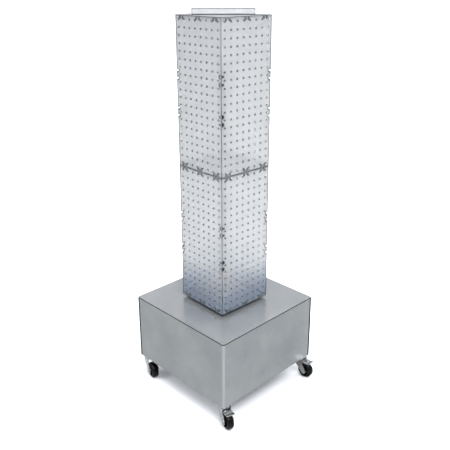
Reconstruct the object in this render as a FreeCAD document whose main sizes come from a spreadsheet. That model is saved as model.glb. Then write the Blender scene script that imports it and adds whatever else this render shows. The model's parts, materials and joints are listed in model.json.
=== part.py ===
import FreeCAD, Part
import math
import os
import Sketcher

# Revolving pegboard display stand. Millimetres, +Z up, origin on the floor on the tower's axis.
# The tower's faces look along -Y, +X, +Y and -X; the base is turned a little under it.

App = FreeCAD
Z_AXIS = App.Vector(0, 0, 1)
doc = App.newDocument("pegboard_stand")
sheet = doc.addObject("Spreadsheet::Sheet", "dims")

DIMENSIONS = [
    # tower
    ("tower_width", 220.6), ("panel_height", 508), ("panel_thick", 3.2), ("column_pitch", 27.2),
    ("row_pitch", 25.4), ("column_count", 8), ("row_count", 20), ("peg_hole", 6.4),
    ("plate_thick", 2), ("skirt_height", 9), ("skirt_wall", 2.4), ("plate_gap", 0.2),
    # interlock notches in the panel edges
    ("round_notch", 13), ("slot_notch", 6), ("notch_deep", 11), ("corner_site_offset", 63.5),
    ("edge_slot", 5), ("edge_slot_offset", 7), ("edge_site_columns", 3), ("key_gap", 0.2),
    # base box
    ("base_width", 466), ("base_wall_height", 254), ("base_sheet", 1.5), ("base_bend", 6),
    ("base_flange", 30), ("base_gap", 0.5), ("lid_gap", 1.6), ("base_skirt", 14), ("base_turn", 2.05),
    ("gusset_size", 56), ("gusset_thick", 3), ("gusset_gap", 0.3),
    # casters
    ("caster_height", 84), ("caster_inset", 24), ("caster_trail", 29), ("wheel_radius", 30.5),
    ("tyre_width", 25), ("tyre_round", 8), ("core_radius", 22), ("core_width", 26), ("core_web", 10),
    ("core_rim", 3), ("core_rim_step", 3), ("web_overlap", 1),
    ("hub_radius", 8.5), ("axle_radius", 4.5), ("run_gap", 0.08), ("fork_width", 36), ("fork_sheet", 2.4),
    ("head_radius", 22), ("race_thick", 5), ("race_gap", 0.4), ("crown_thick", 4), ("crown_step", 0.5),
    ("axle_boss", 11), ("cheek_front", 13.6), ("cheek_rear", 19.8), ("cheek_drop", 14), ("cheek_margin", 3.5),
    ("stem_radius", 6), ("stem_gap", 0.25), ("nut_thick", 9), ("nut_radius", 11), ("stem_above_nut", 3),
    ("axle_head", 8), ("axle_head_thick", 2.6),
    ("pedal_trail", 15.5), ("pedal_rise", 38), ("pedal_pin", 2.6), ("pedal_long", 54), ("pedal_thick", 3),
    ("pedal_gap", 0.7), ("pedal_tyre_gap", 3.2), ("pedal_root", 1.6), ("pedal_lift", 2.8),
    ("pedal_straight", 12), ("pin_proud", 0.5),
    ("turn_front_left", -15), ("turn_front_right", -17), ("turn_rear_left", 163), ("turn_rear_right", 4),
    # turntable
    ("table_gap", 11.5), ("table_radius", 76), ("table_plate", 3), ("ball_radius", 4), ("ball_track", 58),
    ("ball_count", 24), ("ball_gap", 0.06), ("cage_width", 16), ("cage_thick", 1.6), ("cage_gap", 0.4),
    ("table_hole_gap", 1.5), ("table_screw_circle", 132), ("table_screw", 2), ("table_screw_head", 3.6),
    ("table_screw_head_thick", 1.4), ("table_screw_long", 5), ("screw_gap", 0.1),
    # spindle post
    ("post_radius", 8), ("post_wall", 1.5), ("post_above_tower_floor", 870), ("post_flange", 22),
    ("post_flange_thick", 4), ("post_collar", 11), ("collar_wall", 3), ("post_cap", 3), ("bush_gap", 0.3),
    ("bush_radius", 14), ("bush_barrel", 11), ("bush_flange_thick", 2), ("bush_length", 10),
    ("bush_overlap", 0.5), ("post_screw_circle", 31),
    # sign channel
    ("channel_long", 206), ("channel_tall", 20), ("channel_wide", 10), ("channel_wall", 2),
    ("channel_turn", 47), ("channel_lift", 0.4), ("pivot_radius", 2.5), ("pivot_head", 2.9),
    ("pivot_head_thick", 2), ("pivot_gap", 0.2), ("pivot_tail", 4.4),
    # how far a cut runs past the face it starts from
    ("overcut", 1),
]
for row, (alias, size) in enumerate(DIMENSIONS, start=1):
    cell = "A%d" % row
    sheet.set(cell, str(size))
    sheet.setAlias(cell, alias)


def derive(alias, formula):
    """A cell worked out from the driving dimensions."""
    derive.row += 1
    cell = "B%d" % derive.row
    sheet.set(cell, "=" + formula)
    sheet.setAlias(cell, alias)


derive.row = 0
derive("base_top_z", "caster_height + base_wall_height + base_sheet")
derive("tower_floor_z", "base_top_z + table_gap")
derive("divider_z", "tower_floor_z + panel_height")
derive("upper_tier_z", "divider_z + plate_thick")
derive("tower_top_z", "upper_tier_z + panel_height")
derive("inside_half", "tower_width / 2 - panel_thick - plate_gap")
derive("row_margin", "(panel_height - (row_count - 1) * row_pitch) / 2")
derive("column_margin", "(column_count - 1) * column_pitch / 2")
derive("base_half", "base_width / 2")
derive("caster_axis", "base_half - caster_inset")
derive("crown_top", "caster_height - race_thick - race_gap")
doc.recompute()


def value(formula):
    """The number that a formula of the sheet's names gives."""
    return float(sheet.evalExpression(formula))


def names_to_cells(formula):
    """Puts the sheet's name before each of its aliases, for use in another object's expression."""
    words = []
    word = ""
    for letter in formula + " ":
        if letter.isalnum() or letter == "_":
            word += letter
            continue
        words.append("dims." + word if sheet.getCellFromAlias(word) else word)
        words.append(letter)
        word = ""
    return "".join(words).strip()


def bind(thing, prop, formula):
    thing.setExpression(prop, names_to_cells(formula))


def new_body(name):
    return doc.addObject("PartDesign::Body", name)


def origin_plane(body, role):
    return next(f for f in body.Origin.OriginFeatures if f.Role == role)


def new_sketch(body, name, role="XY_Plane", lift="0"):
    sketch = body.newObject("Sketcher::SketchObject", name)
    sketch.AttachmentSupport = (origin_plane(body, role), "")
    sketch.MapMode = "FlatFace"
    bind(sketch, "AttachmentOffset.Base.z", lift)
    return sketch


def pin_point(sketch, curve, end, x, y):
    """Ties a point of the sketch to a place given by two formulas."""
    for kind, prop in (("DistanceX", x), ("DistanceY", y)):
        index = sketch.addConstraint(Sketcher.Constraint(kind, -1, 1, curve, end, value(prop)))
        bind(sketch, "Constraints[%d]" % index, prop)


def polygon(sketch, corners):
    """A closed outline through corners, each a pair of formulas."""
    places = [App.Vector(value(x), value(y), 0) for x, y in corners]
    first = sketch.GeometryCount
    for index, place in enumerate(places):
        sketch.addGeometry(Part.LineSegment(place, places[(index + 1) % len(places)]), False)
    for index in range(len(corners)):
        following = first + (index + 1) % len(corners)
        sketch.addConstraint(Sketcher.Constraint("Coincident", first + index, 2, following, 1))
    for index, (x, y) in enumerate(corners):
        pin_point(sketch, first + index, 1, x, y)


def box_outline(sketch, left, right, low, high):
    polygon(sketch, [(left, low), (right, low), (right, high), (left, high)])


def circle(sketch, x, y, radius):
    centre = App.Vector(value(x), value(y), 0)
    curve = sketch.addGeometry(Part.Circle(centre, App.Vector(0, 0, 1), value(radius)), False)
    pin_point(sketch, curve, 3, x, y)
    index = sketch.addConstraint(Sketcher.Constraint("Radius", curve, value(radius)))
    bind(sketch, "Constraints[%d]" % index, radius)


def pad(body, sketch, length, middle=False):
    feature = body.newObject("PartDesign::Pad", sketch.Name + "_pad")
    feature.Profile = sketch
    feature.Midplane = middle
    bind(feature, "Length", length)
    sketch.Visibility = False
    return feature


def cut_through(body, sketch):
    """Cuts the sketch's outlines right through the body, both ways."""
    feature = body.newObject("PartDesign::Pocket", sketch.Name + "_cut")
    feature.Profile = sketch
    feature.Type = "ThroughAll"
    feature.Midplane = True
    return feature


def cut_span(body, sketch, length):
    """Cuts a span centred on the sketch's plane."""
    feature = body.newObject("PartDesign::Pocket", sketch.Name + "_cut")
    feature.Profile = sketch
    feature.Midplane = True
    bind(feature, "Length", length)
    return feature


def upright_at(places):
    """A test for vertical edges at the given pairs of formulas."""
    spots = [(value(x), value(y)) for x, y in places]

    def test(edge):
        ends = (edge.Vertexes[0].Point, edge.Vertexes[-1].Point)
        return any(all(math.hypot(end.x - x, end.y - y) < 0.01 for end in ends) for x, y in spots)
    return test


def round_edges(body, name, test, radius):
    """Fillets the edges of the body that pass the test."""
    doc.recompute()
    base = body.Tip
    found = ["Edge%d" % index for index, edge in enumerate(base.Shape.Edges, start=1) if test(edge)]
    feature = body.newObject("PartDesign::Fillet", name)
    feature.Base = (base, found)
    bind(feature, "Radius", radius)
    return feature


def ring_copies(body, feature, count):
    """Repeats a feature evenly round the Z axis."""
    pattern = body.newObject("PartDesign::PolarPattern", feature.Name + "_ring")
    pattern.Originals = [feature]
    pattern.Axis = (next(f for f in body.Origin.OriginFeatures if f.Role == "Z_Axis"), [""])
    pattern.Angle = 360
    bind(pattern, "Occurrences", count)
    body.Tip = pattern
    return pattern


def place(thing, x="0", y="0", z="0", turn="0"):
    """Binds a placement: a move and a turn about +Z, all given by formulas."""
    bind(thing, "Placement.Base.x", x)
    bind(thing, "Placement.Base.y", y)
    bind(thing, "Placement.Base.z", z)
    bind(thing, "Placement.Rotation.Angle", turn)
    thing.Placement = App.Placement(App.Vector(value(x), value(y), value(z)),
                                    App.Rotation(Z_AXIS, value(turn)))


NODES = []


def node(label, thing):
    """Marks an object as one of the stand's pieces."""
    thing.Label = label
    NODES.append(thing)
    return thing


def copy_of(master, label, x="0", y="0", z="0", turn="0"):
    """A piece of the same shape as master, at a place of its own."""
    body = new_body(label)
    clone = body.newObject("PartDesign::FeatureBase", label + "_shape")
    clone.BaseFeature = master
    body.Tip = clone
    place(body, x, y, z, turn)
    return node(label, body)


def turned(x, y, turn):
    """Formulas for the point (x, y) turned about the origin."""
    return ("({0}) * cos({2} * 1deg) - ({1}) * sin({2} * 1deg)".format(x, y, turn),
            "({0}) * sin({2} * 1deg) + ({1}) * cos({2} * 1deg)".format(x, y, turn))


# ---------------------------------------------------------------- base box


def make_base_wrap():
    """An L of two walls, the bend at (+X, -Y), with a return flange along the bottom."""
    body = new_body("base_wrap")
    walls = new_sketch(body, "wrap_walls")
    inner = "base_half - base_sheet"
    wall_end = "base_half - base_sheet - base_gap"
    polygon(walls, [("-base_half", "-base_half"), ("base_half", "-base_half"), ("base_half", wall_end),
                    (inner, wall_end), (inner, "-(%s)" % inner), ("-base_half", "-(%s)" % inner)])
    pad(body, walls, "base_wall_height - lid_gap")
    flange = new_sketch(body, "wrap_flange")
    middle = "base_half - base_sheet / 2"
    lip = "base_half - base_flange"
    polygon(flange, [("-(%s)" % wall_end, "-(%s)" % middle), (middle, "-(%s)" % middle),
                     (middle, "%s - base_gap" % lip), (lip, "%s - base_gap" % lip),
                     (lip, "-(%s)" % lip), ("-(%s)" % wall_end, "-(%s)" % lip)])
    pad(body, flange, "base_sheet")
    stems = new_sketch(body, "wrap_stem_holes")
    for side in ("caster_axis", "-caster_axis"):
        circle(stems, side, "-caster_axis", "stem_radius + stem_gap")
    cut_through(body, stems)
    round_edges(body, "wrap_bend", upright_at([("base_half", "-base_half")]), "base_bend")
    round_edges(body, "wrap_fold", upright_at([(inner, "-(%s)" % inner)]), "base_bend - base_sheet")
    return body


def make_base_top():
    """The top sheet, with a skirt that drops inside the walls."""
    body = new_body("base_top")
    top = new_sketch(body, "top_sheet")
    box_outline(top, "-base_half", "base_half", "-base_half", "base_half")
    pad(body, top, "base_sheet")
    corners = [(sx + "base_half", sy + "base_half") for sx in ("", "-") for sy in ("", "-")]
    round_edges(body, "top_corners", upright_at(corners), "base_bend")
    skirt = new_sketch(body, "top_skirt", lift="-base_skirt")
    outside = "base_half - base_bend - base_gap"
    inside = "%s - base_sheet" % outside
    box_outline(skirt, "-(%s)" % outside, outside, "-(%s)" % outside, outside)
    box_outline(skirt, "-(%s)" % inside, inside, "-(%s)" % inside, inside)
    pad(body, skirt, "base_skirt + base_sheet / 2")
    holes = new_sketch(body, "top_holes")
    screw_holes(holes, "table_screw_circle / 2", "table_screw")
    screw_holes(holes, "post_screw_circle / 2", "table_screw")
    cut_through(body, holes)
    place(body, z="base_top_z - base_sheet", turn="base_turn")
    return node("base_top", body)


def screw_holes(sketch, reach, radius):
    """Four holes on the X and Y axes of a sketch."""
    for x, y in ((reach, "0"), ("0", reach), ("-(%s)" % reach, "0"), ("0", "-(%s)" % reach)):
        circle(sketch, x, y, radius)


def corner_places(reach):
    """(name, x, y) of the four corners of the base, turned with it, as formulas."""
    signs = {"front_left": ("-", "-"), "front_right": ("", "-"),
             "rear_left": ("-", ""), "rear_right": ("", "")}
    return [(name,) + turned("%s(%s)" % (sx, reach), "%s(%s)" % (sy, reach), "base_turn")
            for name, (sx, sy) in signs.items()]


def group(label, masters):
    """One piece made of several separate solids: (master, x, y, z, turn) each."""
    links = []
    for index, (master, x, y, z, turn) in enumerate(masters):
        body = new_body("%s_%d" % (label, index))
        clone = body.newObject("PartDesign::FeatureBase", "%s_%d_shape" % (label, index))
        clone.BaseFeature = master
        body.Tip = clone
        place(body, x, y, z, turn)
        links.append(body)
    compound = doc.addObject("Part::Compound", label)
    compound.Links = links
    return node(label, compound)


def make_gusset():
    """A square corner plate with the stem's hole, which sits on the flange."""
    body = new_body("gusset")
    outline = new_sketch(body, "gusset_outline")
    edge = "caster_inset - base_bend - gusset_gap"
    box_outline(outline, "-(gusset_size - (%s))" % edge, edge, "-(gusset_size - (%s))" % edge, edge)
    circle(outline, "0", "0", "stem_radius + stem_gap")
    pad(body, outline, "gusset_thick")
    return body


# ---------------------------------------------------------------- casters


def make_stem():
    """The threaded stem and the fixed upper race of a caster, its seat at z = 0."""
    body = new_body("stem")
    race = new_sketch(body, "stem_race", lift="-race_thick")
    circle(race, "0", "0", "head_radius")
    pad(body, race, "race_thick")
    shank = new_sketch(body, "stem_shank", lift="-race_thick / 2")
    circle(shank, "0", "0", "stem_radius")
    pad(body, shank, "race_thick / 2 + base_sheet + gusset_thick + nut_thick + stem_above_nut")
    return body


def hexagon(sketch, radius):
    corners = []
    for step in range(6):
        corners.append(("(%s) * cos(%d * 60deg)" % (radius, step), "(%s) * sin(%d * 60deg)" % (radius, step)))
    polygon(sketch, corners)


def make_stem_nut():
    body = new_body("stem_nut")
    outline = new_sketch(body, "stem_nut_outline")
    hexagon(outline, "nut_radius")
    circle(outline, "0", "0", "stem_radius + run_gap")
    pad(body, outline, "nut_thick")
    return body


def make_fork():
    """The swivel fork: a round crown and two cheeks down to the axle, which trails along +X."""
    body = new_body("fork")
    crown = new_sketch(body, "fork_crown", lift="crown_top - crown_thick")
    circle(crown, "0", "0", "head_radius - crown_step")
    pad(body, crown, "crown_thick")
    cheeks = new_sketch(body, "fork_cheeks", role="XZ_Plane")
    crown_middle = "crown_top - crown_thick / 2"
    pin_side = "pedal_trail + pedal_pin + cheek_margin"
    pin_z = "wheel_radius + pedal_rise"
    polygon(cheeks, [("-cheek_front", crown_middle), ("cheek_rear", crown_middle),
                     (pin_side, pin_z + " + cheek_margin"), (pin_side, pin_z + " - 2 * cheek_margin"),
                     ("caster_trail + axle_boss * sin(70deg)", "wheel_radius + axle_boss * cos(70deg)"),
                     ("caster_trail - axle_boss * cos(50deg)", "wheel_radius - axle_boss * sin(50deg)"),
                     ("-cheek_front", "crown_top - crown_thick - cheek_drop")])
    pad(body, cheeks, "fork_width", middle=True)
    boss = new_sketch(body, "fork_boss", role="XZ_Plane")
    circle(boss, "caster_trail", "wheel_radius", "axle_boss")
    pad(body, boss, "fork_width", middle=True)
    gap = new_sketch(body, "fork_gap", role="XZ_Plane")
    box_outline(gap, "-head_radius - overcut", "caster_trail + wheel_radius",
                "-overcut", "crown_top - crown_thick")
    cut_span(body, gap, "fork_width - 2 * fork_sheet")
    holes = new_sketch(body, "fork_holes", role="XZ_Plane")
    circle(holes, "caster_trail", "wheel_radius", "axle_radius + run_gap")
    circle(holes, "pedal_trail", pin_z, "pedal_pin + run_gap")
    cut_through(body, holes)
    return body


def disc_on_axle(body, name, outer, inner, width):
    """A ring about the axle line, centred on the fork's middle plane."""
    ring = new_sketch(body, name, role="XZ_Plane")
    circle(ring, "caster_trail", "wheel_radius", outer)
    circle(ring, "caster_trail", "wheel_radius", inner)
    return pad(body, ring, width, middle=True)


def make_wheel_core():
    """The moulded wheel centre: hub, thin web and rim."""
    body = new_body("wheel_core")
    disc_on_axle(body, "core_web_ring", "core_radius - web_overlap", "axle_radius + run_gap", "core_web")
    disc_on_axle(body, "core_hub", "hub_radius", "axle_radius + run_gap", "core_width")
    disc_on_axle(body, "core_rim", "core_radius", "core_radius - core_rim", "tyre_width - core_rim_step")
    return body


def make_tyre():
    """The tyre, a ring with a rounded tread."""
    body = new_body("tyre")
    disc_on_axle(body, "tyre_ring", "wheel_radius", "core_radius", "tyre_width")
    rim = 2 * math.pi * value("wheel_radius")
    round_edges(body, "tyre_shoulders", lambda edge: abs(edge.Length - rim) < 0.01,
                "min(tyre_round; wheel_radius - core_radius - crown_step)")
    return body


def make_axle_bolt():
    """The axle bolt: a plain shank with a flat round head on the -Y cheek."""
    body = new_body("axle_bolt")
    shank = new_sketch(body, "bolt_shank", role="XZ_Plane")
    circle(shank, "caster_trail", "wheel_radius", "axle_radius")
    pad(body, shank, "fork_width + 2 * axle_head_thick", middle=True)
    head = new_sketch(body, "bolt_head", role="XZ_Plane", lift="fork_width / 2")
    circle(head, "caster_trail", "wheel_radius", "axle_head")
    pad(body, head, "axle_head_thick")
    return body


def make_axle_nut():
    """The nut on the other end of the axle bolt."""
    body = new_body("axle_nut")
    outline = new_sketch(body, "axle_nut_outline", role="XZ_Plane", lift="-fork_width / 2 - axle_head_thick")
    corners = []
    for step in range(6):
        corners.append(("caster_trail + axle_head * cos(%d * 60deg)" % step,
                        "wheel_radius + axle_head * sin(%d * 60deg)" % step))
    polygon(outline, corners)
    circle(outline, "caster_trail", "wheel_radius", "axle_radius")
    pad(body, outline, "axle_head_thick")
    return body


def make_pedal():
    """The brake pedal: trunnions in the fork's cheeks, a shoe over the tyre and a foot lever behind."""
    body = new_body("pedal")
    pivot_z = "wheel_radius + pedal_rise"
    width = "fork_width - 2 * fork_sheet - 2 * pedal_gap"
    pin = new_sketch(body, "pedal_trunnion", role="XZ_Plane")
    circle(pin, "pedal_trail", pivot_z, "pedal_pin")
    pad(body, pin, "fork_width + 2 * pin_proud", middle=True)
    lever = new_sketch(body, "pedal_lever", role="XZ_Plane")
    root = "pedal_trail - pedal_pin - pedal_root"
    under = "2 * wheel_radius + pedal_tyre_gap"
    polygon(lever, [(root, under), ("caster_trail + pedal_straight", under),
                    ("pedal_long", under + " + pedal_lift"),
                    ("pedal_long", under + " + pedal_thick + pedal_lift"),
                    ("caster_trail + pedal_straight", under + " + pedal_thick"),
                    (root, pivot_z + " + pedal_pin")])
    pad(body, lever, width, middle=True)
    return body


BRAKED = ("front_right", "rear_right")


# ---------------------------------------------------------------- turntable


def make_track_plate(body, name, side, hole):
    """A round plate with a hole in the middle and a groove that the balls run in."""
    plate = new_sketch(body, name)
    circle(plate, "0", "0", "table_radius")
    circle(plate, "0", "0", hole)
    screw_holes(plate, "table_screw_circle / 2", "table_screw")
    pad(body, plate, "table_plate")
    track = new_sketch(body, name + "_track", role="XZ_Plane")
    circle(track, "ball_track", side, "ball_radius + ball_gap")
    groove = body.newObject("PartDesign::Groove", name + "_groove")
    groove.Profile = track
    groove.ReferenceAxis = (track, ["V_Axis"])
    groove.Angle = 360


def make_turntable():
    lower = new_body("turntable_lower_plate")
    make_track_plate(lower, "lower_plate", "table_gap / 2", "post_flange + table_hole_gap")
    place(lower, z="base_top_z", turn="base_turn")
    node("turntable_lower_plate", lower)
    upper = new_body("turntable_upper_plate")
    make_track_plate(upper, "upper_plate", "table_plate - table_gap / 2", "bush_radius")
    place(upper, z="tower_floor_z - table_plate")
    node("turntable_upper_plate", upper)
    balls = []
    for index in range(int(value("ball_count"))):
        copy = doc.addObject("Part::Sphere", "ball_%d" % index)
        bind(copy, "Radius", "ball_radius")
        x, y = turned("ball_track", "0", "%d * 360 / ball_count" % index)
        place(copy, x, y, "base_top_z + table_gap / 2")
        balls.append(copy)
    compound = doc.addObject("Part::Compound", "turntable_balls")
    compound.Links = balls
    node("turntable_balls", compound)
    cage = new_body("turntable_ball_cage")
    ring = new_sketch(cage, "cage_ring")
    circle(ring, "0", "0", "ball_track + cage_width / 2")
    circle(ring, "0", "0", "ball_track - cage_width / 2")
    pad(cage, ring, "cage_thick", middle=True)
    pocket = new_sketch(cage, "cage_pocket")
    circle(pocket, "ball_track", "0", "ball_radius + cage_gap")
    ring_copies(cage, cut_through(cage, pocket), "ball_count")
    place(cage, z="base_top_z + table_gap / 2")
    node("turntable_ball_cage", cage)


def make_screw(name, points_up):
    """A small pan-head screw, its head's seat at z = 0."""
    body = new_body(name)
    shank = new_sketch(body, name + "_shank", lift="0" if points_up else "-table_screw_long")
    circle(shank, "0", "0", "table_screw - screw_gap")
    pad(body, shank, "table_screw_long")
    head = new_sketch(body, name + "_head", lift="-table_screw_head_thick" if points_up else "0")
    circle(head, "0", "0", "table_screw_head")
    pad(body, head, "table_screw_head_thick")
    return body


def screw_ring(label, master, reach, z, turn):
    """Four screws on one circle, as one piece."""
    spots = []
    for step in range(4):
        x, y = turned(reach, "0", "(%s + %d)" % (turn, 90 * step))
        spots.append((master, x, y, z, "0"))
    group(label, spots)


# ---------------------------------------------------------------- spindle post


def make_spindle_flange():
    """The foot of the spindle post: a round plate with a collar round the tube."""
    flange = new_body("spindle_flange")
    plate = new_sketch(flange, "flange_plate")
    circle(plate, "0", "0", "post_flange")
    circle(plate, "0", "0", "post_radius")
    screw_holes(plate, "post_screw_circle / 2", "table_screw")
    pad(flange, plate, "post_flange_thick")
    collar = new_sketch(flange, "flange_collar")
    circle(collar, "0", "0", "post_radius + collar_wall")
    circle(collar, "0", "0", "post_radius")
    pad(flange, collar, "post_collar")
    place(flange, z="base_top_z", turn="base_turn")
    return node("spindle_flange", flange)


def make_spindle_post():
    """The dark tube that stands on the base, up the tower's axis."""
    post = new_body("spindle_post")
    ring = new_sketch(post, "post_ring")
    circle(ring, "0", "0", "post_radius")
    circle(ring, "0", "0", "post_radius - post_wall")
    pad(post, ring, "table_gap + post_above_tower_floor")
    place(post, z="base_top_z")
    return node("spindle_post", post)


def make_spindle_cap():
    """The plug in the top of the post."""
    cap = new_body("spindle_cap")
    disc = new_sketch(cap, "cap_disc")
    circle(disc, "0", "0", "post_radius")
    pad(cap, disc, "post_cap")
    plug = new_sketch(cap, "cap_plug", lift="-post_cap * 2")
    circle(plug, "0", "0", "post_radius - post_wall")
    pad(cap, plug, "post_cap * 2.5")
    place(cap, z="tower_floor_z + post_above_tower_floor")
    return node("spindle_cap", cap)


# ---------------------------------------------------------------- tower


def edge_slots():
    """Middles of the interlock slots along a panel's top and bottom edges, a pair at each of three sites."""
    sites = ("-edge_site_columns * column_pitch", "0", "edge_site_columns * column_pitch")
    return ["(%s %s edge_slot_offset)" % (site, side) for site in sites for side in ("-", "+")]


def corner_sites():
    """Middles of the interlock sites along a panel's upright edges: the lower and the upper one."""
    return ("panel_height / 2 - corner_site_offset", "panel_height / 2 + corner_site_offset")


def make_panel():
    """The -Y pegboard panel of a tier, its bottom edge at z = 0, mitred on its upright edges."""
    body = new_body("panel")
    outline = new_sketch(body, "panel_outline")
    outer = "tower_width / 2"
    inner = "tower_width / 2 - panel_thick"
    polygon(outline, [("-(%s)" % outer, "-(%s)" % outer), (outer, "-(%s)" % outer),
                      (inner, "-(%s)" % inner), ("-(%s)" % inner, "-(%s)" % inner)])
    pad(body, outline, "panel_height")
    slots = new_sketch(body, "panel_notches", role="XZ_Plane")
    ends = new_sketch(body, "panel_notch_ends", role="XZ_Plane")
    lower, upper = corner_sites()
    for edge, site, wide in (("-1", lower, "round_notch"), ("-1", upper, "slot_notch"),
                             ("1", lower, "slot_notch"), ("1", upper, "round_notch")):
        for side in ("-", "+"):
            middle = "(%s %s row_pitch / 2)" % (site, side)
            rim = "%s * (%s + overcut)" % (edge, outer)
            root = "%s * (%s - notch_deep + %s / 2)" % (edge, outer, wide)
            low, high = "%s - %s / 2" % (middle, wide), "%s + %s / 2" % (middle, wide)
            left, right = (rim, root) if edge == "-1" else (root, rim)
            box_outline(slots, left, right, low, high)
            circle(ends, root, middle, "%s / 2" % wide)
    for middle in edge_slots():
        left, right = middle + " - edge_slot / 2", middle + " + edge_slot / 2"
        root = "notch_deep - edge_slot / 2"
        box_outline(slots, left, right, "-overcut", root)
        circle(ends, middle, root, "edge_slot / 2")
        box_outline(slots, left, right, "panel_height - (%s)" % root, "panel_height + overcut")
        circle(ends, middle, "panel_height - (%s)" % root, "edge_slot / 2")
    cut_through(body, slots)
    cut_through(body, ends)
    hole = new_sketch(body, "panel_peg_hole", role="XZ_Plane")
    circle(hole, "-column_margin", "row_margin", "peg_hole / 2")
    peg_hole = cut_through(body, hole)
    grid = body.newObject("PartDesign::MultiTransform", "panel_peg_holes")
    grid.Originals = [peg_hole]
    across = body.newObject("PartDesign::LinearPattern", "panel_columns")
    across.Direction = (hole, ["H_Axis"])
    bind(across, "Length", "(column_count - 1) * column_pitch")
    bind(across, "Occurrences", "column_count")
    up = body.newObject("PartDesign::LinearPattern", "panel_rows")
    up.Direction = (hole, ["V_Axis"])
    bind(up, "Length", "(row_count - 1) * row_pitch")
    bind(up, "Occurrences", "row_count")
    grid.Transformations = [across, up]
    body.Tip = grid
    return body


def make_plate(label, z, hole, full=False, up=False, down=False):
    """A square tower plate, with a skirt and keys on its upper side, its lower side or both."""
    body = new_body(label)
    flat = new_sketch(body, label + "_flat")
    half = "tower_width / 2" if full else "inside_half"
    box_outline(flat, "-(%s)" % half, half, "-(%s)" % half, half)
    circle(flat, "0", "0", hole)
    if up and not full:
        screw_holes(flat, "table_screw_circle / 2", "table_screw")
    pad(body, flat, "plate_thick")
    key_tall = "notch_deep - edge_slot / 2 - key_gap"
    sides = []
    if up:
        sides.append(("up", "plate_thick / 2", "plate_thick" if full else "0"))
    if down:
        under = "-(%s)" % key_tall
        sides.append(("down", "-skirt_height", under if full else under + " + plate_thick"))
    for name, skirt_lift, key_lift in sides:
        skirt = new_sketch(body, "%s_skirt_%s" % (label, name), lift=skirt_lift)
        inside = "inside_half - skirt_wall"
        box_outline(skirt, "-inside_half", "inside_half", "-inside_half", "inside_half")
        box_outline(skirt, "-(%s)" % inside, inside, "-(%s)" % inside, inside)
        pad(body, skirt, "skirt_height + plate_thick / 2")
        keys = new_sketch(body, "%s_keys_%s" % (label, name), lift=key_lift)
        reach = "edge_slot / 2 - key_gap"
        for middle in edge_slots():
            box_outline(keys, "%s - (%s)" % (middle, reach), "%s + (%s)" % (middle, reach),
                        "-(tower_width / 2 - key_gap)", "-(inside_half - skirt_wall / 2)")
        ring_copies(body, pad(body, keys, key_tall), "4")
    place(body, z=z)
    return node(label, body)


def make_bush(label, z):
    """A flanged guide bush, its flange resting on a tower plate."""
    body = new_body(label)
    barrel = new_sketch(body, label + "_barrel")
    circle(barrel, "0", "0", "bush_barrel")
    circle(barrel, "0", "0", "post_radius + bush_gap")
    pad(body, barrel, "plate_thick + bush_length")
    flange = new_sketch(body, label + "_flange", lift="plate_thick")
    circle(flange, "0", "0", "bush_radius")
    circle(flange, "0", "0", "bush_barrel - bush_overlap")
    pad(body, flange, "bush_flange_thick")
    place(body, z=z)
    return node(label, body)


def make_sign_channel():
    """The clear U channel that holds a sign, its floor at z = 0."""
    body = new_body("sign_channel")
    walls = new_sketch(body, "channel_section", role="YZ_Plane")
    side = "channel_wide / 2"
    slot = "channel_wide / 2 - channel_wall"
    polygon(walls, [("-(%s)" % side, "0"), (side, "0"), (side, "channel_tall"), (slot, "channel_tall"),
                    (slot, "channel_wall"), ("-(%s)" % slot, "channel_wall"),
                    ("-(%s)" % slot, "channel_tall"), ("-(%s)" % side, "channel_tall")])
    pad(body, walls, "channel_long", middle=True)
    hole = new_sketch(body, "channel_hole")
    circle(hole, "0", "0", "pivot_radius + run_gap")
    cut_through(body, hole)
    place(body, z="tower_top_z + channel_lift", turn="channel_turn")
    return node("sign_channel", body)


def make_pivot():
    """The rivet that the sign channel turns on: its head lies in the channel, its shank in the plate."""
    body = new_body("sign_channel_pivot")
    shank = new_sketch(body, "pivot_shank", lift="-plate_thick - pivot_head_thick")
    circle(shank, "0", "0", "pivot_radius")
    pad(body, shank, "plate_thick + channel_lift + channel_wall + pivot_gap + pivot_head_thick * 1.5")
    head = new_sketch(body, "pivot_top_head", lift="channel_lift + channel_wall + pivot_gap")
    circle(head, "0", "0", "pivot_head")
    pad(body, head, "pivot_head_thick")
    tail = new_sketch(body, "pivot_tail", lift="-plate_thick - pivot_head_thick")
    circle(tail, "0", "0", "pivot_tail")
    pad(body, tail, "pivot_head_thick")
    place(body, z="tower_top_z")
    return node("sign_channel_pivot", body)


# ---------------------------------------------------------------- the whole stand

wrap = make_base_wrap()
copy_of(wrap, "base_wrap_front", z="caster_height", turn="base_turn")
copy_of(wrap, "base_wrap_rear", z="caster_height", turn="base_turn + 180")
make_base_top()

gusset, stem, stem_nut = make_gusset(), make_stem(), make_stem_nut()
corner_turns = {"front_left": "180", "front_right": "270", "rear_left": "90", "rear_right": "0"}
corners = corner_places("caster_axis")
group("caster_gussets", [(gusset, x, y, "caster_height + base_sheet", "base_turn + " + corner_turns[name])
                         for name, x, y in corners])
group("caster_stems", [(stem, x, y, "caster_height", "0") for name, x, y in corners])
group("caster_stem_nuts", [(stem_nut, x, y, "caster_height + base_sheet + gusset_thick", "0")
                           for name, x, y in corners])

caster_parts = {"fork": make_fork(), "wheel_core": make_wheel_core(), "tyre": make_tyre(),
                "axle_bolt": make_axle_bolt(), "axle_nut": make_axle_nut()}
pedal = make_pedal()
for name, x, y in corners:
    turn = "base_turn + turn_" + name
    for part_name, master in caster_parts.items():
        copy_of(master, "%s_%s" % (part_name, name), x, y, "0", turn)
    if name in BRAKED:
        copy_of(pedal, "brake_pedal_" + name, x, y, "0", turn)

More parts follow.
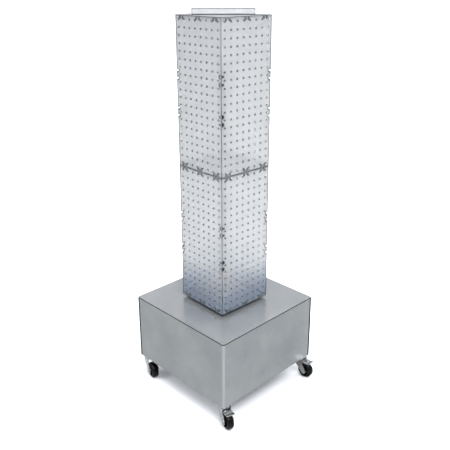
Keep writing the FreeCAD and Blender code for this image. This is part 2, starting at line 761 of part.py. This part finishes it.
make_turntable()
screw_down = make_screw("screw_down", False)
screw_up = make_screw("screw_up", True)
screw_ring("turntable_lower_screws", screw_down, "table_screw_circle / 2", "base_top_z + table_plate",
           "base_turn")
screw_ring("turntable_upper_screws", screw_up, "table_screw_circle / 2", "tower_floor_z - table_plate", "0")

make_spindle_flange()
screw_ring("spindle_flange_screws", screw_down, "post_screw_circle / 2", "base_top_z + post_flange_thick",
           "base_turn")

make_spindle_post()
make_spindle_cap()
make_plate("tower_bottom_plate", "tower_floor_z", "bush_barrel", up=True)
make_plate("tower_divider_plate", "divider_z", "bush_barrel", full=True, up=True, down=True)
make_plate("tower_top_plate", "tower_top_z - plate_thick", "pivot_radius", down=True)
make_bush("bottom_bush", "tower_floor_z")
make_bush("divider_bush", "divider_z")

panel = make_panel()
FACES = (("front", "0"), ("right", "90"), ("rear", "180"), ("left", "270"))
for tier, z in (("lower", "tower_floor_z"), ("upper", "upper_tier_z")):
    for face, turn in FACES:
        copy_of(panel, "panel_%s_%s" % (tier, face), z=z, turn=turn)

make_sign_channel()
make_pivot()

doc.recompute()

for thing in doc.Objects:
    if "Invalid" in thing.State or "Error" in thing.State:
        raise RuntimeError("%s failed: %s" % (thing.Name, thing.State))
os.makedirs("parts", exist_ok=True)
for piece in NODES:
    if piece.Shape.isNull() or not piece.Shape.isValid():
        raise RuntimeError("%s has no valid shape" % piece.Label)
    piece.Shape.exportStep("parts/%s.step" % piece.Label)
    print(piece.Label, len(piece.Shape.Solids), round(piece.Shape.Volume, 1))
print("pieces", len(NODES))
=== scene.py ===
import json
import math

import bmesh
import bpy
from mathutils import Matrix, Vector


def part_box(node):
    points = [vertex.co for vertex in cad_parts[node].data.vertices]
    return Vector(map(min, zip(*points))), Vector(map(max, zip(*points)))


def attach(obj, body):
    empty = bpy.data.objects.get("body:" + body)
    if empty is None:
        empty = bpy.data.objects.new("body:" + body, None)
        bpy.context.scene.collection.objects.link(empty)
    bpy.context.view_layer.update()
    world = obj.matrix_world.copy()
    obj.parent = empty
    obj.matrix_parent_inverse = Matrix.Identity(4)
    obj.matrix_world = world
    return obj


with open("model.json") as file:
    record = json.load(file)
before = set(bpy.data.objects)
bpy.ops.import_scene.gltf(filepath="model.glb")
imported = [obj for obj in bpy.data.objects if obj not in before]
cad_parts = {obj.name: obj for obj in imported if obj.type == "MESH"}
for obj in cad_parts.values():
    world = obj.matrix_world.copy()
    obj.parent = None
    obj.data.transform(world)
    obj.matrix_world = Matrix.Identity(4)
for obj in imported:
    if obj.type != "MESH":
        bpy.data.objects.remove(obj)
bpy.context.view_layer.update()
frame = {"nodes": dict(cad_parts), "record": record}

NODES = frame["nodes"]
PEG_PITCH = (0.0272, 0.0254)
PEG_RING = 0.0037
FOOT_TOP = 0.52
FOOT_LOW = 0.38
CASTERS = ("front_left", "front_right", "rear_left", "rear_right")
# metres, unless a name says otherwise
RIM_RADIUS = 0.0013
BASE_HALF = 0.233
BASE_TURN = math.radians(2.05)
SEAM_SHADE_RADIUS = 0.0026
SEAM_SHADE_INSET = 0.0020
LID_SHADE_RADIUS = 0.0016
LID_SHADE_INSET = 0.0010
LID_SHADE_DROP = 0.0023
BASE_BEND = 0.006
WALL_SHADE = 0.3345
BEND_HIGHLIGHT_STRIP = 0.0075
SEAM_SHADE_STRIP = 0.0085
CHANNEL_LONG = 0.206
CHANNEL_WIDE = 0.010
CHANNEL_TURN = math.radians(47)
CHANNEL_LINE_RADIUS = 0.0009
CHANNEL_FOOT_RADIUS = 0.0015
CHANNEL_LOW_INSET = 0.0016
CHANNEL_INSET = 0.001
PANELS = [name for name in NODES if name.startswith("panel_")]


# ---------------------------------------------------------------- materials


class Shader:
    """A small helper to write node materials."""

    def __init__(self, name):
        self.material = bpy.data.materials.new(name)
        self.material.use_nodes = True
        self.tree = self.material.node_tree
        self.bsdf = self.tree.nodes["Principled BSDF"]

    def add(self, kind, **settings):
        node = self.tree.nodes.new(kind)
        for key, value in settings.items():
            if key in node.inputs:
                node.inputs[key].default_value = value
            else:
                setattr(node, key, value)
        return node

    def link(self, start, end):
        self.tree.links.new(start, end)

    def set(self, **sockets):
        for key, value in sockets.items():
            self.bsdf.inputs[key.replace("_", " ")].default_value = value
        return self

    def place(self):
        """Object coordinates, which are the row frame in metres on every piece."""
        return self.add("ShaderNodeTexCoord").outputs["Object"]

    def stretched(self, source, scale):
        mapping = self.add("ShaderNodeMapping")
        mapping.inputs["Scale"].default_value = scale
        self.link(source, mapping.inputs["Vector"])
        return mapping.outputs["Vector"]

    def noise(self, source, scale, detail=4.0, roughness=0.55):
        node = self.add("ShaderNodeTexNoise", Scale=scale, Detail=detail, Roughness=roughness)
        self.link(source, node.inputs["Vector"])
        return node.outputs["Fac"]

    def ramp(self, source, low, high, place_low=0.3, place_high=0.7):
        node = self.add("ShaderNodeValToRGB")
        first, last = node.color_ramp.elements
        first.position, last.position = place_low, place_high
        first.color = (*low, 1)
        last.color = (*high, 1)
        self.link(source, node.inputs["Fac"])
        return node.outputs["Color"]

    def spread(self, source, low, high):
        """Maps a 0 to 1 value to a range."""
        node = self.add("ShaderNodeMapRange")
        node.inputs["To Min"].default_value = low
        node.inputs["To Max"].default_value = high
        self.link(source, node.inputs["Value"])
        return node.outputs["Result"]

    def band(self, place, axis, start):
        """1 where the place's distance along an axis, either way, is past a start."""
        along = self.add("ShaderNodeVectorMath", operation="DOT_PRODUCT")
        self.link(place, along.inputs[0])
        along.inputs[1].default_value = axis
        size = self.add("ShaderNodeMath", operation="ABSOLUTE")
        self.link(along.outputs["Value"], size.inputs[0])
        past = self.add("ShaderNodeMath", operation="GREATER_THAN")
        self.link(size.outputs["Value"], past.inputs[0])
        past.inputs[1].default_value = start
        return past.outputs["Value"]

    def blend(self, factor, under, colour):
        """One colour laid over another where the factor is 1."""
        mix = self.add("ShaderNodeMix", data_type="RGBA")
        self.link(factor, mix.inputs["Factor"])
        self.link(under, mix.inputs[6])
        mix.inputs[7].default_value = colour
        return mix.outputs[2]

    def bump(self, source, strength, distance):
        node = self.add("ShaderNodeBump", Strength=strength, Distance=distance)
        self.link(source, node.inputs["Height"])
        self.link(node.outputs["Normal"], self.bsdf.inputs["Normal"])


def grey(value):
    return (value, value, value)


def clear_plastic(name="clear_plastic"):
    """Moulded styrene with a fine pebbled face that blurs what is behind it."""
    shader = Shader(name)
    shader.set(Base_Color=(0.94, 0.955, 0.965, 1), IOR=1.45, Transmission_Weight=0.735)
    place = shader.place()
    haze = shader.noise(place, 9, detail=3)
    shader.link(shader.spread(haze, 0.2, 0.26), shader.bsdf.inputs["Roughness"])
    return shader


def peg_panel(name, flat, origin):
    """Clear plastic with a painted dark ring round each peg hole, as shade of the hole walls, and a painted
    bluish shade at the foot for the dark base seen through it, where the rings turn to a painted white
    highlight.
    """
    shader = clear_plastic(name)
    place = shader.place()
    start = shader.add("ShaderNodeVectorMath", operation="SUBTRACT")
    shader.link(place, start.inputs[0])
    start.inputs[1].default_value = origin
    wrap = shader.add("ShaderNodeVectorMath", operation="WRAP")
    shader.link(start.outputs["Vector"], wrap.inputs[0])
    across, up = PEG_PITCH
    wrap.inputs[1].default_value = (across / 2, across / 2, up / 2)
    wrap.inputs[2].default_value = (-across / 2, -across / 2, -up / 2)
    reach = shader.add("ShaderNodeVectorMath", operation="LENGTH")
    shader.link(shader.stretched(wrap.outputs["Vector"], flat), reach.inputs[0])
    # painted shade: a darker ring round each hole, for the dark look of the hole walls
    ring = shader.ramp(reach.outputs["Value"], grey(1), grey(0), PEG_RING / 1.1, PEG_RING)
    height = shader.add("ShaderNodeSeparateXYZ")
    shader.link(place, height.inputs["Vector"])
    foot = shader.add("ShaderNodeMapRange")
    foot.inputs["From Min"].default_value = FOOT_TOP
    foot.inputs["From Max"].default_value = FOOT_LOW
    shader.link(height.outputs["Z"], foot.inputs["Value"])
    # painted shade: the body turns dark blue towards the foot, for the dark base seen through it
    body = shader.ramp(foot.outputs["Result"], (0.94, 0.955, 0.965), (0.46, 0.53, 0.64), 0.0, 1.0)
    # painted shade and highlight: the rings are dark above the foot and turn to a painted white highlight
    # at the foot
    ring_shade_and_highlight = shader.ramp(foot.outputs["Result"], (0.27, 0.29, 0.32), (0.95, 0.97, 1.0), 0.35, 0.65)
    mix = shader.add("ShaderNodeMix", data_type="RGBA")
    shader.link(ring, mix.inputs["Factor"])
    shader.link(body, mix.inputs[6])
    shader.link(ring_shade_and_highlight, mix.inputs[7])
    shader.link(mix.outputs[2], shader.bsdf.inputs["Base Color"])
    return shader.material


def cut_edge_plastic():
    """The cut edges and peg hole walls, painted near black as shade, since clear edges look darker than the
    faces.
    """
    shader = Shader("cut_edge_plastic")
    shader.set(IOR=1.45, Transmission_Weight=0.15, Roughness=0.3)
    place = shader.place()
    # painted shade: a near-black tone for edges that only look dark
    tone = shader.ramp(shader.noise(place, 120, detail=2), (0.03, 0.036, 0.042), (0.08, 0.088, 0.096))
    shader.link(tone, shader.bsdf.inputs["Base Color"])
    return shader.material


def frosted_plastic():
    """The plates between the tiers: milky clear plastic."""
    shader = Shader("frosted_plastic")
    shader.set(Base_Color=(0.6, 0.63, 0.67, 1), IOR=1.45, Transmission_Weight=0.55)
    place = shader.place()
    shader.link(shader.spread(shader.noise(place, 14), 0.3, 0.45), shader.bsdf.inputs["Roughness"])
    shader.bump(shader.noise(place, 300, detail=2), 0.05, 0.0005)
    return shader.material


def sign_plastic():
    """The sign channel's clear, nearly white walls."""
    shader = Shader("sign_plastic")
    shader.set(IOR=1.45, Transmission_Weight=0.4, Roughness=0.2)
    place = shader.place()
    tone = shader.ramp(shader.noise(place, 30), (0.74, 0.76, 0.78), (0.82, 0.83, 0.84))
    shader.link(tone, shader.bsdf.inputs["Base Color"])
    return shader.material


def top_plastic():
    """The plate that closes the tower: light grey and nearly opaque."""
    shader = Shader("top_plastic")
    shader.set(IOR=1.45, Transmission_Weight=0.2, Roughness=0.4)
    place = shader.place()
    tone = shader.ramp(shader.noise(place, 15), (0.2, 0.207, 0.214), (0.25, 0.257, 0.264))
    shader.link(tone, shader.bsdf.inputs["Base Color"])
    return shader.material


def floor_plastic():
    """The plate in the tower's foot, painted dark bluish as shade for the dark base and turntable seen
    through it.
    """
    shader = Shader("floor_plastic")
    shader.set(IOR=1.45, Transmission_Weight=0.35, Roughness=0.35)
    place = shader.place()
    # painted shade: dark bluish tone for the base seen through the plate
    tone = shader.ramp(shader.noise(place, 12), (0.2, 0.24, 0.29), (0.3, 0.345, 0.4))
    shader.link(tone, shader.bsdf.inputs["Base Color"])
    return shader.material


def base_metal():
    """Satin silver sheet with a fine mottled grain, painted dark shade at the two wrap seams and along the
    walls' top under the lid, and a painted highlight on the front and back bends.
    """
    shader = Shader("base_metal")
    shader.set(Metallic=0.6)
    place = shader.place()
    mottle = shader.noise(place, 5, detail=6, roughness=0.65)
    tone = shader.ramp(mottle, (0.25, 0.275, 0.285), (0.36, 0.375, 0.382))
    # painted highlight: a lighter strip down the front and back bends
    bend_highlight = shader.band(place, (math.cos(BASE_TURN) + math.sin(BASE_TURN),
                               math.sin(BASE_TURN) - math.cos(BASE_TURN), 0), 2 * BASE_HALF - BEND_HIGHLIGHT_STRIP)
    tone = shader.blend(bend_highlight, tone, (0.4, 0.42, 0.435, 1))
    # painted shade: a near-black strip down the two corners where the wraps meet
    seam_shade = shader.band(place, (math.cos(BASE_TURN) - math.sin(BASE_TURN),
                               math.sin(BASE_TURN) + math.cos(BASE_TURN), 0), 2 * BASE_HALF - SEAM_SHADE_STRIP)
    tone = shader.blend(seam_shade, tone, (0.01, 0.012, 0.014, 1))
    # painted shade: a near-black band along the walls' top, under the lid
    under_lid_shade = shader.band(place, (0, 0, 1), WALL_SHADE)
    tone = shader.blend(under_lid_shade, tone, (0.02, 0.023, 0.026, 1))
    shader.link(tone, shader.bsdf.inputs["Base Color"])
    brushed = shader.noise(shader.stretched(place, (1, 1, 60)), 25, detail=3)
    shader.link(shader.spread(brushed, 0.3, 0.46), shader.bsdf.inputs["Roughness"])
    shader.bump(shader.noise(place, 900, detail=2), 0.08, 0.0003)
    return shader.material


def lid_metal():
    """The base's top sheet: smoother, so that the tower shows in it."""
    shader = Shader("lid_metal")
    shader.set(Metallic=0.75)
    place = shader.place()
    mottle = shader.noise(place, 7, detail=5)
    tone = shader.ramp(mottle, (0.38, 0.395, 0.405), (0.44, 0.45, 0.455))
    shader.link(tone, shader.bsdf.inputs["Base Color"])
    shader.link(shader.spread(shader.noise(place, 20), 0.2, 0.3), shader.bsdf.inputs["Roughness"])
    return shader.material


def zinc():
    """Bright zinc plate with soft spangle."""
    shader = Shader("zinc")
    shader.set(Metallic=1.0)
    place = shader.place()
    cloud = shader.noise(place, 90, detail=3)
    shader.link(shader.ramp(cloud, grey(0.42), (0.66, 0.67, 0.69)), shader.bsdf.inputs["Base Color"])
    shader.link(shader.spread(shader.noise(place, 260), 0.1, 0.22), shader.bsdf.inputs["Roughness"])
    shader.bump(cloud, 0.08, 0.0004)
    return shader.material


def steel():
    """Plain turned steel."""
    shader = Shader("steel")
    shader.set(Metallic=1.0)
    place = shader.place()
    tone = shader.ramp(shader.noise(place, 200), grey(0.42), grey(0.6))
    shader.link(tone, shader.bsdf.inputs["Base Color"])
    shader.link(shader.spread(shader.noise(place, 500), 0.22, 0.36), shader.bsdf.inputs["Roughness"])
    return shader.material


def dark_paint():
    """Satin black paint with a little orange peel."""
    shader = Shader("dark_paint")
    shader.set(Metallic=0.0)
    place = shader.place()
    shader.link(shader.ramp(shader.noise(place, 60), grey(0.012), (0.022, 0.024, 0.028)),
                shader.bsdf.inputs["Base Color"])
    shader.link(shader.spread(shader.noise(place, 400), 0.35, 0.5), shader.bsdf.inputs["Roughness"])
    shader.bump(shader.noise(place, 1200, detail=1), 0.1, 0.0002)
    return shader.material


def moulded(name, low, high, rough_low, rough_high):
    """Moulded rubber or plastic: fine speckle and an uneven sheen."""
    shader = Shader(name)
    shader.set(Specular_IOR_Level=0.2)
    place = shader.place()
    shader.link(shader.ramp(shader.noise(place, 150), low, high), shader.bsdf.inputs["Base Color"])
    sheen = shader.spread(shader.noise(place, 350), rough_low, rough_high)
    shader.link(sheen, shader.bsdf.inputs["Roughness"])
    shader.bump(shader.noise(place, 1500, detail=1), 0.12, 0.0002)
    return shader.material


MATERIALS = {
    "clear_plastic": clear_plastic().material,
    "frosted_plastic": frosted_plastic(),
    "base_sheet_metal": base_metal(),
    "zinc_plate": zinc(),
    "screw_steel": steel(),
    "dark_post": dark_paint(),
    "white_nylon": moulded("white_nylon", grey(0.72), grey(0.8), 0.35, 0.5),
    "black_tyre": moulded("black_tyre", grey(0.001), grey(0.003), 0.12, 0.22),
    "black_core": moulded("black_core", grey(0.002), grey(0.005), 0.15, 0.25),
}


def outline_loops(name, across, side):
    """The closed outlines of one panel's outer face, as lists of points in the row frame."""
    panel = NODES[name]
    mesh = bmesh.new()
    mesh.from_mesh(panel.data)
    mesh.transform(panel.matrix_world)
    bmesh.ops.remove_doubles(mesh, verts=mesh.verts, dist=1e-6)
    low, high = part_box(name)
    level = high[across] if side > 0 else low[across]
    flat = {face for face in mesh.faces if all(abs(vert.co[across] - level) < 1e-5 for vert in face.verts)}
    rim = [edge for edge in mesh.edges if sum(face in flat for face in edge.link_faces) == 1]
    after = {}
    for edge in rim:
        for vert, other in (edge.verts, reversed(edge.verts)):
            after.setdefault(vert, []).append(other)
    loops = []
    while after:
        start = next(iter(after))
        loop = [start]
        near = after.pop(start)
        step = near[0]
        while step is not start and step in after:
            loop.append(step)
            near = after.pop(step)
            step = near[0] if near[0] is not loop[-2] else near[1]
        loops.append([vert.co.copy() for vert in loop])
    mesh.free()
    return loops


def spread_of(loop):
    """Longest side of the box round a loop."""
    return max(max(point[axis] for point in loop) - min(point[axis] for point in loop) for axis in range(3))


def make_bead(name, path, radius, material, body, closed=True):
    """A round bead along a path, as a mesh that rides on a body."""
    curve = bpy.data.curves.new(name, "CURVE")
    curve.dimensions = "3D"
    curve.bevel_depth = radius
    curve.bevel_resolution = 2
    curve.use_fill_caps = not closed
    spline = curve.splines.new("POLY")
    spline.points.add(len(path) - 1)
    for point, place in zip(spline.points, path):
        point.co = (*place, 1)
    spline.use_cyclic_u = closed
    pattern = bpy.data.objects.new(name + "_path", curve)
    bpy.context.scene.collection.objects.link(pattern)
    mesh = bpy.data.meshes.new_from_object(pattern.evaluated_get(bpy.context.evaluated_depsgraph_get()))
    bpy.data.objects.remove(pattern)
    piece = bpy.data.objects.new(name, mesh)
    bpy.context.scene.collection.objects.link(piece)
    mesh.materials.clear()
    mesh.materials.append(material)
    for face in mesh.polygons:
        face.use_smooth = True
    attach(piece, body)
    return piece


def panel_facts(name):
    """(axis across the sheet, +1 or -1 for the outward side) of a panel."""
    low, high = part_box(name)
    across = 0 if high.x - low.x < high.y - low.y else 1
    return across, 1 if low[across] + high[across] > 0 else -1


def outline_panels(material):
    """A fine moulded bead round each panel's outer face, notches and all, in the near-black edge material:
    painted shade for the dark line along each edge.
    """
    for name in PANELS:
        across, side = panel_facts(name)
        loops = outline_loops(name, across, side)
        outline = max(loops, key=spread_of)
        make_bead(name + "_rim", outline, RIM_RADIUS, material, "tower")


def shade_base_seams(material):
    """Dark beads down the two corners where the base's wrapped walls meet: painted shade for the shadow in
    the seams.
    """
    low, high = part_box("base_wrap_front")
    for name, sx, sy in (("front_left", -1, -1), ("rear_right", 1, 1)):
        x, y = sx * (BASE_HALF - SEAM_SHADE_INSET), sy * (BASE_HALF - SEAM_SHADE_INSET)
        corner = Matrix.Rotation(BASE_TURN, 3, "Z") @ Vector((x, y, 0))
        path = [Vector((corner.x, corner.y, z)) for z in (low.z + SEAM_SHADE_RADIUS, high.z - SEAM_SHADE_RADIUS)]
        make_bead("corner_seam_shade_" + name, path, SEAM_SHADE_RADIUS, material, "base", closed=False)


def shade_lid_gap(material):
    """A dark bead in the gap under the base's top sheet, round all four sides: painted shade for the shadow
    in that gap.
    """
    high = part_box("base_top")[1]
    inner = BASE_HALF - LID_SHADE_INSET - BASE_BEND
    turn = Matrix.Rotation(BASE_TURN, 3, "Z")
    path = []
    for quarter in range(4):
        centre = Matrix.Rotation(math.radians(90 * quarter), 3, "Z") @ Vector((inner, inner, 0))
        for step in range(5):
            angle = math.radians(90 * quarter + 22.5 * step)
            edge = centre + Vector((math.cos(angle), math.sin(angle), 0)) * BASE_BEND
            path.append(turn @ edge + Vector((0, 0, high.z - LID_SHADE_DROP)))
    make_bead("lid_gap_shade", path, LID_SHADE_RADIUS, material, "base")


def outline_channel(material):
    """Dark beads along the sign channel's long edges and ends: painted shade for the dark lines at its
    edges.
    """
    channel = NODES["sign_channel"]
    heights = [(channel.matrix_world @ vert.co).z for vert in channel.data.vertices]
    foot = min(heights) + CHANNEL_LOW_INSET
    head = max(heights) - CHANNEL_INSET
    reach = CHANNEL_LONG / 2 - CHANNEL_INSET
    turn = Matrix.Rotation(CHANNEL_TURN, 3, "Z")
    for side, sign in (("front", -1), ("rear", 1)):
        corners = []
        for x, z in ((-1, foot), (1, foot), (1, head), (-1, head)):
            corners.append(turn @ Vector((x * reach, sign * CHANNEL_WIDE / 2, z)))
        make_bead("channel_outline_" + side, corners, CHANNEL_LINE_RADIUS, material, "sign")
        make_bead("channel_foot_" + side, corners[:2], CHANNEL_FOOT_RADIUS, material, "sign",
                  closed=False)


def soften_edges(names, width):
    """Small bevels on sharp CAD edges, so that they catch the light."""
    for name in names:
        bevel = NODES[name].modifiers.new("soft_edges", "BEVEL")
        bevel.width = width
        bevel.segments = 2
        bevel.limit_method = "ANGLE"
        bevel.angle_limit = math.radians(40)


# near-black material for cut edges and outline beads: painted shade
EDGE_SHADE = cut_edge_plastic()


def dress_cad_nodes():
    """Gives each CAD node its slot's material, and the panels' edge faces and the sign channel's flat faces
    the near-black edge material as painted shade.
    """
    for entry in frame["record"]["subparts"]:
        mesh = NODES[entry["node"]].data
        mesh.materials.clear()
        mesh.materials.append(MATERIALS[entry["material_slot"]])
    channel = NODES["sign_channel"]
    channel.data.materials[0] = sign_plastic()
    channel.data.materials.append(EDGE_SHADE)
    # painted shade: the channel's flat rims and underside get the near-black edge material
    for face in channel.data.polygons:
        if abs(face.normal.z) > 0.7:
            face.material_index = 1
    NODES["tower_bottom_plate"].data.materials[0] = floor_plastic()
    NODES["tower_top_plate"].data.materials[0] = top_plastic()
    NODES["base_top"].data.materials[0] = lid_metal()
    for name in PANELS:
        panel = NODES[name]
        across, side = panel_facts(name)
        hole = min(outline_loops(name, across, side), key=lambda loop: (spread_of(loop), loop[0].x))
        origin = sum(hole, Vector()) / len(hole)
        flat = (0, 1, 1) if across == 0 else (1, 0, 1)
        panel.data.materials[0] = peg_panel(name + "_plastic", flat, origin)
        panel.data.materials.append(EDGE_SHADE)
        turn = panel.matrix_world.to_3x3()
        # painted shade: the panels' edge and hole-wall faces get the near-black edge material
        for face in panel.data.polygons:
            if abs((turn @ face.normal)[across]) < 0.7:
                face.material_index = 1


# ---------------------------------------------------------------- studio


def make_floor():
    """A plain pale floor: white to the camera, and greyer in what it throws back."""
    bpy.ops.mesh.primitive_plane_add(size=40, location=(0, 0, 0))
    floor = bpy.context.object
    floor.name = "studio_floor"
    shader = Shader("studio_floor")
    shader.set(Roughness=0.9, Emission_Color=(0.97, 0.98, 1, 1))
    path = shader.add("ShaderNodeLightPath").outputs["Is Camera Ray"]
    tone = shader.ramp(path, grey(0.42), (0.84, 0.855, 0.89), 0.0, 1.0)
    shader.link(tone, shader.bsdf.inputs["Base Color"])
    reach = shader.add("ShaderNodeVectorMath", operation="LENGTH")
    shader.link(shader.place(), reach.inputs[0])
    far = shader.ramp(reach.outputs["Value"], grey(0.1), grey(1), 0.5, 1.0)
    glow = shader.add("ShaderNodeMath", operation="MULTIPLY")
    shader.link(path, glow.inputs[0])
    shader.link(far, glow.inputs[1])
    shader.link(glow.outputs["Value"], shader.bsdf.inputs["Emission Strength"])
    floor.data.materials.append(shader.material)


def make_world():
    """White all round to the camera, and a softer dome for light."""
    world = bpy.data.worlds.new("studio")
    bpy.context.scene.world = world
    world.use_nodes = True
    tree = world.node_tree
    light = tree.nodes["Background"]
    light.inputs["Strength"].default_value = 1.0
    place = tree.nodes.new("ShaderNodeTexCoord").outputs["Generated"]
    height = tree.nodes.new("ShaderNodeSeparateXYZ")
    tree.links.new(place, height.inputs["Vector"])
    dome = tree.nodes.new("ShaderNodeValToRGB")
    horizon, top = dome.color_ramp.elements
    horizon.position, top.position = 0.0, 0.75
    horizon.color = (0.2, 0.22, 0.245, 1)
    top.color = (0.95, 0.97, 1.0, 1)
    tree.links.new(height.outputs["Z"], dome.inputs["Fac"])
    tree.links.new(dome.outputs["Color"], light.inputs["Color"])
    seen = tree.nodes.new("ShaderNodeBackground")
    seen.inputs["Color"].default_value = (1, 1, 1, 1)
    seen.inputs["Strength"].default_value = 1.1
    path = tree.nodes.new("ShaderNodeLightPath")
    mix = tree.nodes.new("ShaderNodeMixShader")
    tree.links.new(path.outputs["Is Camera Ray"], mix.inputs["Fac"])
    tree.links.new(light.outputs["Background"], mix.inputs[1])
    tree.links.new(seen.outputs["Background"], mix.inputs[2])
    tree.links.new(mix.outputs["Shader"], tree.nodes["World Output"].inputs["Surface"])


# name, place, diameter and power in watts
LIGHTS = (
    ("key", (2.8, -1.3, 4.2), 2.2, 215),
    ("fill", (-1.6, -3.4, 3.2), 2.6, 75),
    ("rim", (0.5, 3.4, 3.2), 2.6, 100),
    ("top", (0.2, -0.2, 4.6), 2.0, 95),
)


def make_light(name, place, size, power):
    """A round area light aimed at the middle of the object."""
    data = bpy.data.lights.new(name, "AREA")
    data.shape = "DISK"
    data.size = size
    data.energy = power
    light = bpy.data.objects.new(name, data)
    bpy.context.scene.collection.objects.link(light)
    light.location = place
    aim = Vector((0, 0, 0.6)) - Vector(place)
    light.rotation_euler = aim.to_track_quat("-Z", "Y").to_euler()


CAMERA_AZIMUTH = math.radians(47.74)
CAMERA_ELEVATION = math.radians(19.64)
CAMERA_DISTANCE = 2.219
CAMERA_TARGET = Vector((0.0020, 0.0022, 0.7376))
CAMERA_LENS = 49.5
CAMERA_SHIFT = -0.06
CAMERA_ROLL = math.radians(-0.2)


def make_camera():
    data = bpy.data.cameras.new("camera")
    data.sensor_width = 36
    data.lens = CAMERA_LENS
    data.shift_y = CAMERA_SHIFT
    camera = bpy.data.objects.new("camera", data)
    bpy.context.scene.collection.objects.link(camera)
    flat = math.cos(CAMERA_ELEVATION)
    east = math.sin(CAMERA_AZIMUTH) * flat
    south = math.cos(CAMERA_AZIMUTH) * flat
    back = Vector((east, -south, math.sin(CAMERA_ELEVATION)))
    camera.location = CAMERA_TARGET + back * CAMERA_DISTANCE
    aim = (-back).to_track_quat("-Z", "Y").to_matrix()
    camera.rotation_euler = (aim @ Matrix.Rotation(CAMERA_ROLL, 3, "Z")).to_euler()
    bpy.context.scene.camera = camera


make_camera()
make_world()
make_floor()
for light_facts in LIGHTS:
    make_light(*light_facts)
bpy.context.scene.view_settings.view_transform = "Standard"

dress_cad_nodes()
outline_panels(EDGE_SHADE)
outline_channel(EDGE_SHADE)
shade_base_seams(MATERIALS["black_core"])
shade_lid_gap(MATERIALS["black_core"])
soften_edges(["fork_" + name for name in CASTERS], 0.0007)
